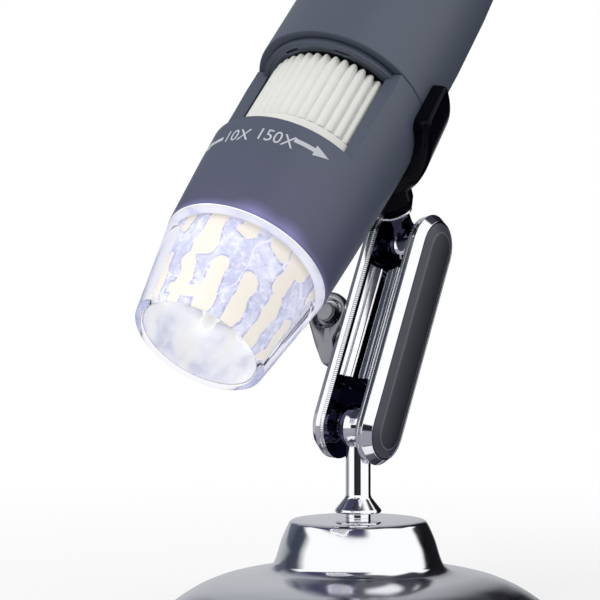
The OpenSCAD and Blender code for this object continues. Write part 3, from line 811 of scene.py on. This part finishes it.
# The clamp lever and its pin
def convex(circles):
    """The convex outline round some circles of (x, z, radius)."""
    points = sorted({(round(x + r * math.cos(PI * i / 90), 5), round(z + r * math.sin(PI * i / 90), 5))
                     for x, z, r in circles for i in range(180)})

    def half(points):
        out = []
        for x, z in points:
            while len(out) > 1:
                (x0, z0), (x1, z1) = out[-2:]
                if (x1 - x0) * (z - z0) - (z1 - z0) * (x - x0) > 0:
                    break
                out.pop()
            out.append((x, z))
        return out[:-1]
    return half(points) + half(points[::-1])


def reach(outlines, angle):
    """The farthest crossing of the outlines by a ray from the origin."""
    dx, dz = math.cos(angle), math.sin(angle)
    best = 0.0
    for outline in outlines:
        for (x, z), (x1, z1) in zip(outline, outline[1:] + outline[:1]):
            ex, ez = x1 - x, z1 - z
            den = dx * ez - dz * ex
            if abs(den) > 1e-12 and -1e-6 <= (x * dz - z * dx) / den <= 1 + 1e-6:
                best = max(best, (x * ez - z * ex) / den)
    return best


def lever():
    """The cam lever: a round dished head, a waist and a narrow tail, forked for the bolt's eye."""
    head, waist, tip = (0, 0, 4.3), (1.0, -5.2, 2.2), (2.9, -8.9, 1.4)
    dish_r, n = 3.3, 192
    fork_w, fork_r, fork_end = 1.65, 1.9, 6.1
    outlines = [convex([head, waist]), convex([waist, tip])]
    far = [reach(outlines, 2 * PI * i / n) for i in range(n)]
    for _ in range(2):
        far = [(far[i - 1] + 2 * far[i] + far[(i + 1) % n]) / 4 for i in range(n)]
    # Rings from the pin's hole over the dish, then lips drawn in from the outline, each at its height y
    dish = ((1.05, 2.3), (2.0, 2.3), (2.35, 2.3), (2.5, 2.34), (2.7, 2.47), (2.95, 2.66), (3.15, 2.8),
            (dish_r, 2.88))
    lips = ((0.5, 0.42, 2.92), (1, 0.42, 2.92), (1, 0.2, 2.84), (1, 0.06, 2.68), (1, 0.0, 2.45))
    rings = [ring([r] * n, y) for r, y in dish]
    rings += [ring([dish_r + (r - inset - dish_r) * share for r in far], y) for share, inset, y in lips]
    loops = [[(PIN_X + x, side * y, CLAMP_Z + z) for x, z, y in loop]
             for side, order in ((-1, rings), (1, rings[::-1])) for loop in order]
    last = len(loops) - 2
    dished = [int(1 < min(k, last - k) < 7) for k in range(len(loops)) for _ in range(n)]
    ob = make("clamp_lever_cam", loft(loops, closed=True), M_ARM, "lever", [LEVER, DISH], "lever_chrome",
              "clamp_lever", face_mats=dished)
    fork = box(-fork_r, fork_end, -fork_w, fork_w, -fork_r, fork_end)
    cut(ob, moved(fork, (PIN_X, 0, CLAMP_Z)), M_ARM)


def lever_pin():
    """The lever's pin with a low head at each end."""
    r, head_r, head, end = 1.0, 1.9, 3.02, 3.75
    prof = [(0, -end)] + fillet([
        (r, -end), (head_r, -end, 0.25), (head_r, -head, 0.05), (r, -head), (r, head), (head_r, head, 0.05),
        (head_r, end, 0.25), (r, end)], seg=4) + [(0, end)]
    make("lever_pin_turned", moved(lathe(prof, 64, "Y"), (PIN_X, 0, CLAMP_Z)), M_ARM, "arm", [LEVER],
         "satin_steel", "lever_pin")


def stud():
    """The upper ball with its neck and a thin flange. It lies along X, with the ball at the origin."""
    end, seat = -14.2, -7.87
    prof = [(0, end)] + fillet([
        (1.0, end), (2.0, end, 0.1), (2.0, seat), (3.15, seat, 0.1), (3.15, -7.4, 0.12),
        (POST_R, -7.4, 0.25), (POST_R, -4.9, 0.9), (NECK_R, -NECK_DROP)], seg=5) + ball_arc(0.0)
    make("clip_stud_turned", lathe(prof, 128, "X"), M_STUD, "stud", [CHROME_STUD], "chrome", "clip_stud")


# The clip
def drop(d, r):
    """How far an edge of radius r has fallen at a distance d from its end."""
    return r - math.sqrt(max(0.0, r * r - (r - d) ** 2)) if d < r else 0.0


def sleeve():
    """The C-shaped sleeve. Its jaws are shorter than its back, and every edge is rounded."""
    inner, low_r, high_r = BARREL_R + 0.05, BARREL_R + 3.2, BARREL_R + 2.6
    start, end = math.radians(-80.0), math.radians(104.0)
    jaw_foot, back_foot, jaw_top, back_top = 54.3, 52.0, 65.0, 70.3
    rise = math.tan(math.radians(40))
    size = (end - start) * BARREL_R
    near = [0, 0.03, 0.1, 0.2, 0.35, 0.5, 0.7, 0.95, 1.25, 1.6, 2.0]
    steps = near + [2.0 + (size - 4.0) * i / 130 for i in range(1, 130)] + [size - s for s in near[::-1]]
    loops = []
    for s in steps:
        a = start + s / BARREL_R
        back = 0 if math.cos(a) < 0 else BARREL_R - abs(BARREL_R * math.sin(a))
        d = min(s, size - s)
        full = jaw_top - drop(d, 1.0)
        top = max(full + 0.05, min(back_top, jaw_top + rise * back) - drop(d, 1.0))
        foot = max(back_foot, jaw_foot - 0.35 * back) + drop(d, 1.9)
        worn = drop(d, 0.85)
        r_top = max(inner + 0.8, low_r + (high_r - low_r) * (full - foot) / 13 - worn)
        slope = max(0.0, min(1.0, (top - full) / 0.8))
        r_rim = r_top - (r_top - inner - 0.5) * (0.12 + 0.88 * slope)
        section = fillet([(inner, foot, 0.2), (low_r - worn, foot, 2.0), (r_top, full - 0.1, 0.8),
                          (r_rim, top, 0.25), (inner, top, 0.1)], closed=True)
        loops.append([(r * math.cos(a), r * math.sin(a), z) for r, z in section])
    make("clip_sleeve_shell", loft(loops), M_CLIP, "clip", [BLACK_GLOSS], "clip_black", "clip_sleeve")


def clip_boss():
    """The leaning boss between the sleeve and the stud's flange."""
    bore, foot, top = 2.06, -15.4, -7.9
    prof = fillet([(bore, foot), (5.0, foot), (4.4, -13.4, 1.5), (4.15, -9.9, 1.2), (3.3, top, 0.5),
                   (bore, top, 0.1)], closed=True)
    make("clip_boss", lathe(prof, 96, "X"), M_STUD, "clip", [BLACK_GLOSS], "clip_black")


lever()
lever_pin()
stud()
sleeve()
clip_boss()


# The microscope's casings. Z runs from its lens end.
def nose():
    """The clear cap: a clear wall and, behind it, the frosted layer with the lamps' light painted on it."""
    n = 192
    wall_end, rim, neck_r = 17.88, 16.0, 12.62
    wall = fillet([(10.62, 0.0, 0.12), (11.8, 0.0, 0.45), (14.84, wall_end, 0.1), (neck_r, wall_end),
                   (neck_r, rim, 0.5)], closed=True, seg=5)
    make("nose_cap_clear", lathe(wall, n), M_SCOPE, "microscope", [CLEAR], "clear_cap", "nose_cap")
    foot, foot_r, inner_r, outer_r, flange, end = 0.35, 10.25, 12.2, 12.56, 17.95, 21.6
    frost = fillet([
        (foot_r, foot, 0.1), (10.60, foot, 0.1), (outer_r, rim, 0.5), (outer_r, flange),
        (14.86, flange, 0.05), (14.9, 18.25, 0.08), (13.35, 18.25), (13.35, end, 0.1),
        (inner_r, end, 0.1), (inner_r, rim, 0.5)], closed=True, seg=5)
    inner = []
    for (r0, z0), (r1, z1) in zip(frost, frost[1:] + frost[:1]):
        r, z = (r0 + r1) / 2, (z0 + z1) / 2
        middle = 10.43 + (min(max(z, foot), rim) - foot) * 1.95 / (rim - foot)
        inner += [int(r <= middle or z >= 17.9)] * n
    make("nose_cap_frost", lathe(frost, n), M_SCOPE, "microscope", [cap_frost(), cap_inside()], "clear_cap",
         face_mats=inner)


def casing(name, profile, node="", **edges):
    """A turned piece of the slate casing."""
    return make(name, lathe(profile, 240), M_SCOPE, "microscope", [CASING], "casing", node, **edges)


def front():
    """The front casing, cut flat and open at the focus window."""
    bore, lip = BARREL_R - 2.5, 15.05
    floor, shoulder = 37.8, 58.4
    taper = [(r, z) for z, r in TAPER]
    prof = fillet([
        (13.4, NOSE_LEN, 0.1), (*taper[0], 0.22), *taper[1:3], (15.98, 36.4), (16.03, 37.6), *taper[3:],
        (BARREL_R, 59.2, 0.10), (lip, 59.22, 0.1), (lip, shoulder), (bore, shoulder), (bore, floor),
        (12.6, floor), (12.6, 22), (13.4, 22)], closed=True, seg=5)
    ob = casing("front_casing_shell", prof, "front_casing", bevel=(0.1, 42, 2), weighted=False)
    cut(ob, box(WINDOW_X, 40, -30, 30, WINDOW_Z, 90), M_SCOPE)


def window_back():
    """The slate ring behind the wheel, with its lip and two short slots."""
    face, lip, bore = 58.12, 15.045, 12.9
    prof = fillet([
        (bore, face), (14.15, face, 0.03), (14.2, 58.0, 0.03), (14.4, 58.0, 0.03), (14.45, face, 0.03),
        (lip, face, 0.02), (lip, 59.37), (15.01, 59.37), (15.01, 58.45), (bore, 58.45)], closed=True, seg=3)
    ob = casing("window_back_ring", prof, weighted=False)
    for turn in (-20, 24):
        cut(ob, box(13.5, 13.95, -1.5, 1.5, 57.5, 59), M_SCOPE @ rot("Z", turn))


def rear():
    """The rear casing with the holes of its button and its dial."""
    rim, bore = 15.05, 14.8
    button_r, dial_w, dial_l = 3.87, 1.55, 4.7
    prof = fillet([
        (rim, SEAM_Z, 0.1), (BARREL_R, SEAM_Z, 0.3), (BARREL_R, 78, 30), (16.2, 92, 40),
        (15.45, 103.85, 0.12), (13.6, 103.95), (14.3, 92), (bore, 80), (bore, 61), (rim, 60.6)],
        closed=True, seg=8)
    ob = casing("rear_casing_shell", prof, "rear_casing", bevel=(0.16, 42, 3))
    cut(ob, rod(button_r, 5, 25, BUTTON_Z, 64), M_SCOPE)
    cut(ob, box(5, 25, -dial_w, dial_w, DIAL_Z - dial_l, DIAL_Z + dial_l), M_SCOPE)


def rear_cap():
    """The domed end with the hole of the cable inlet."""
    hole, top, inner = 3.4, 112.0, 110
    prof = fillet([
        (15.2, 104.05, 0.1), (15.42, 104.2, 0.2), (15.15, 106.2, 4), (14.5, 108.2, 4), (13.4, 109.9, 3),
        (11.9, 111.1, 3), (10.0, 111.9, 4), (8.2, top), (hole, top, 0.1), (hole, inner), (9, inner),
        (11.8, 107.6), (12.6, 105), (12.6, 101), (13.4, 101), (13.4, 104)], closed=True)
    casing("rear_cap_dome", prof, "rear_cap")


def grommet():
    """The cable inlet: a rubber ring held in the end cap by a groove."""
    bore, flange, groove = 2.2, 4.6, 3.35
    prof = fillet([
        (bore, 108), (flange, 108), (flange, 109.95), (groove, 109.95), (groove, 112.05),
        (flange, 112.05, 0.1), (flange, 112.7, 0.2), (4.1, 113.4, 0.3), (bore, 113.4, 0.25)],
        closed=True, seg=4)
    make("cable_grommet_ring", lathe(prof, 96), M_SCOPE, "microscope", [RUBBER], "black_rubber",
         "cable_grommet")


def wheel():
    """The focus wheel: rounded ribs, a plain flange under them and a stepped bore."""
    ribs, per, R, end = 44, 14, 13.2, 58.0
    bore, wide_bore = 7.66, 8.9
    n = ribs * per
    # Heights up the ribs, with how far their tops lie within R and how deep the grooves are
    side = [(41.75, 0.5, 0.2), (41.85, 0.1, 0.5), (42.2, 0, 0.52), (48, 0, 0.52), (55.6, 0, 0.52),
            (56.6, 0, 0.95), (57.3, 0.08, 1.3), (57.7, 0.25, 1.5), (57.9, 0.5, 1.5), (end, 0.8, 1.3)]
    inside = [(10.0, end), (bore, end), (bore, 56.0), (wide_bore, 56.0), (wide_bore, 40.3), (bore, 40.3),
              (bore, 38.3)]
    flange = fillet([(10, 38.3), (13.65, 38.3, 0.25), (13.65, 41.5, 0.2), (12.5, 41.55), (12.5, 41.74)],
                    seg=4)
    groove = [1 - abs(math.sin(PI * (i % per) / per)) ** 0.75 for i in range(n)]
    loops = [ring([R - inset - depth * g for g in groove], z) for z, inset, depth in side]
    loops += [ring([r] * n, z) for r, z in inside + flange]
    make("focus_wheel_ribbed", loft(loops, closed=True), M_SCOPE, "wheel", [IVORY], "ivory_wheel",
         "focus_wheel")


nose()
front()
window_back()
rear()
rear_cap()
grommet()
wheel()


# The marks on the casing
def casing_r(z):
    for (z0, r0), (z1, r1) in zip(TAPER, TAPER[1:]):
        if z <= z1:
            return r0 + (r1 - r0) * (z - z0) / (z1 - z0)
    return BARREL_R


def wrap(name, flat, turn, z0):
    """Bends a flat mark round the casing. Its x runs round it and its y towards the rear."""
    lift = 0.035
    points = []
    for x, y, up in flat[0]:
        z = z0 + y
        r = casing_r(z) + lift * (1 if up > 0 else 0.2)
        a = math.radians(turn) + x / casing_r(z)
        points.append((r * math.cos(a), r * math.sin(a), z))
    make(name, (points, flat[1]), M_CLIP, "microscope", [PRINT], smooth=False)


def mark_text(text, name, turn, z0, size, narrow):
    """A printed number, cut into pieces short enough to bend."""
    cu = bpy.data.curves.new(name, "FONT")
    cu.body = text
    cu.size = size
    cu.align_x = "CENTER"
    cu.resolution_u = 6
    ob = add("text", cu)
    bpy.context.view_layer.update()
    me = bpy.data.meshes.new_from_object(ob.evaluated_get(bpy.context.evaluated_depsgraph_get()))
    bm = bmesh.new()
    bm.from_mesh(me)
    bmesh.ops.triangulate(bm, faces=bm.faces)
    long_edges = [e for e in bm.edges if e.calc_length() > 0.35]
    bmesh.ops.subdivide_edges(bm, edges=long_edges, cuts=2, use_grid_fill=True)
    bmesh.ops.triangulate(bm, faces=bm.faces)
    raised = bmesh.ops.extrude_face_region(bm, geom=bm.faces[:])["geom"]
    for item in raised:
        if isinstance(item, bmesh.types.BMVert):
            item.co.z = 1.0
    bm.verts.index_update()
    points = [(v.co.x * narrow, v.co.y, v.co.z) for v in bm.verts]
    faces = sorted(tuple(v.index for v in f.verts) for f in bm.faces)  # their own order varies
    bm.free()
    bpy.data.objects.remove(ob)
    bpy.data.curves.remove(cu)
    bpy.data.meshes.remove(me)
    wrap(name, (points, faces), turn, z0)


def mark_arrow(name, turn, z0, direction):
    """A plain arrow, cut into strips short enough to bend."""
    size, shaft, head_w, head_l, steps = 6.7, 0.42, 1.07, 2.9, 24
    neck = size - head_l
    outline = [(neck - 1e-4, shaft), (neck, head_w)]
    for k in range(steps + 1):
        x = size * k / steps
        outline.append((x, shaft if x < neck else head_w * (size - x) / head_l))
    loops = []
    for x, h in sorted(outline):
        x, h = direction * x, max(h, 0.01)
        loops.append([(x, -h, 0), (x, -h, 1), (x, h, 1), (x, h, 0)])
    wrap(name, loft(loops), turn, z0)


mark_text("150X", "mark_high", -154.7, 32.85, 3.6, 0.90)
mark_text("10X", "mark_low", -182.0, 32.4, 3.6, 0.92)
mark_arrow("mark_arrow_high", -143.0, 34.75, 1)
mark_arrow("mark_arrow_low", -193.4, 33.4, -1)

# The stage, the lamps and the camera. Lengths are metres from here on.
WHITE = (1, 1, 1)


def stage_floor():
    """A pale floor. The camera sees it fade to white away from the object, with the shadow kept."""
    half = 3.0
    me = bpy.data.meshes.new("floor")
    corners = [(-half, -half, 0), (half, -half, 0), (half, half, 0), (-half, half, 0)]
    me.from_pydata(corners, [], [(0, 1, 2, 3)])
    ob = add("floor", me)
    ob.location = (0, 0, -0.0001)
    material = bpy.data.materials.new("floor_white")
    me.materials.append(material)
    t = Nodes(material)
    t.tree.nodes.clear()
    seen, glossy = t.rays()
    place = t.node("TexCoord", {}).outputs["Object"]
    far = t.node("VectorMath", {0: place}, operation="LENGTH").outputs["Value"]
    fade = t.range(far, 0.5, 1.0, 0.05, 0.30, "SMOOTHSTEP")
    gone = t.range(far, 0.0, 1.0, 0.045, 0.075, "SMOOTHSTEP")
    pale = t.mix_shader(fade, t.shader("BsdfDiffuse", (0.94, 0.94, 0.95)), t.shader("Emission", WHITE))
    clear = t.node("BsdfTransparent", {}).outputs[0]
    mirrored_floor = t.mix_shader(gone, t.shader("Emission", (0.34, 0.34, 0.38)), clear)
    lit = t.mix_shader(glossy, t.shader("BsdfDiffuse", (0.50, 0.50, 0.53)), mirrored_floor)
    t.node("OutputMaterial", {"Surface": t.mix_shader(seen, lit, pale)})


# Tones of the tent that chrome mirrors
LIT = (1.15, 1.15, 1.15)
WALL, WALL_DIM, WALL_DARK = (0.56, 0.57, 0.60), (0.50, 0.51, 0.54), (0.30, 0.30, 0.36)
HIGH_WALL = (0.42, 0.43, 0.46)
BLACK, NIGHT, DUSK = (0.004, 0.004, 0.006), (0.012, 0.010, 0.05), (0.05, 0.06, 0.085)
SLATE, VIOLET, ROOF = (0.06, 0.07, 0.10), (0.06, 0.06, 0.12), (0.13, 0.13, 0.15)
# Each ring of the tent has tones at ways round in degrees. A ring above BELOW also has the two heights
# between which it takes the last one's place.
BELOW = [(-180, NIGHT), (-150, (0.02, 0.02, 0.06)), (-130, WALL_DARK), (-60, (0.40, 0.40, 0.45)),
         (80, WALL_DARK), (95, (0.02, 0.02, 0.05)), (180, NIGHT)]
RINGS = [
    (-0.17, -0.12, [
        (-180, WALL), (-150, WALL_DIM), (-110, (0.18, 0.19, 0.22)), (-84, LIT), (-43, LIT),
        (-37, (0.012, 0.013, 0.020)), (0, (0.030, 0.032, 0.034)), (20, (0.015, 0.016, 0.022)), (25, LIT),
        (103, LIT), (109, BLACK), (158, (0.01, 0.01, 0.014)), (170, WALL_DIM), (180, WALL)]),
    (0.10, 0.18, [
        (-180, WALL), (-165, WALL_DIM), (-152, (0.14, 0.15, 0.19)), (-128, (0.09, 0.10, 0.14)),
        (-120, DUSK), (-100, DUSK), (-84, LIT), (103, LIT), (109, BLACK), (162, (0.01, 0.01, 0.014)),
        (172, WALL_DIM), (180, WALL)]),
    (0.44, 0.49, [
        (-180, WALL_DIM), (-150, (0.38, 0.39, 0.43)), (-128, SLATE), (-120, SLATE), (-103, LIT),
        (118, LIT), (124, BLACK), (158, (0.02, 0.02, 0.03)), (172, (0.46, 0.47, 0.50)), (180, WALL_DIM)]),
    (0.64, 0.70, [
        (-180, HIGH_WALL), (-140, (0.30, 0.31, 0.35)), (-100, VIOLET), (10, VIOLET), (22, LIT), (84, LIT),
        (96, (0.05, 0.05, 0.07)), (150, (0.04, 0.04, 0.06)), (180, HIGH_WALL)]),
    (0.88, 0.94, [(-180, ROOF), (180, ROOF)]),
]


def studio_world():
    """White for the camera; for reflections a light tent with the dark gaps that chrome shows."""
    scene.world = bpy.data.worlds.new("studio")
    t = Nodes(scene.world)
    t.tree.nodes.clear()
    x, y, z = t.xyz(t.node("TexCoord", {}).outputs["Generated"])
    turn = t.range(t.math("ARCTAN2", x, t.math("MULTIPLY", y, -1.0)), 0.0, 1.0, -PI, PI)

    def tones(stops):
        return t.ramp(turn, [((degrees + 180) / 360, tone) for degrees, tone in stops])
    tent = tones(BELOW)
    for low, high, stops in RINGS:
        tent = t.mix(t.range(z, 0.0, 1.0, low, high, "SMOOTHSTEP"), tent, tones(stops))
    seen, glossy = t.rays()
    plain = t.shader("Background", (0.98, 0.99, 1.0), Strength=0.55)
    lit = t.mix_shader(glossy, plain, t.shader("Background", tent))
    t.node("OutputWorld", {"Surface": t.mix_shader(seen, lit, t.shader("Background", WHITE))})


def lamp(name, place, target, size, power):
    """A soft lamp that no reflection shows."""
    li = bpy.data.lights.new(name, "AREA")
    li.shape = "RECTANGLE"
    li.size, li.size_y = size
    li.energy = power
    ob = add(name, li)
    ob.location = place
    ob.rotation_euler = (Vector(target) - Vector(place)).to_track_quat("-Z", "Y").to_euler()
    ob.visible_glossy = False


def camera():
    """The photograph's view."""
    data = bpy.data.cameras.new("camera")
    data.lens = 108
    data.sensor_width = 36
    data.clip_start = 0.01
    data.clip_end = 20
    ob = add("camera", data)
    ob.location = (-0.0109, -0.3378, 0.0540)
    ob.rotation_euler = (math.radians(90.78), 0, 0)
    scene.camera = ob


stage_floor()
studio_world()
lamp("key", (-0.45, -0.55, 0.75), (0, 0, 0.07), (0.6, 0.6), 3.4)
lamp("fill", (0.7, -0.35, 0.45), (0, 0, 0.07), (0.5, 0.7), 1.0)
lamp("top", (0.0, 0.15, 0.95), (0, 0, 0.05), (0.9, 0.9), 2.2)
camera()
scene.view_settings.view_transform = "Standard"
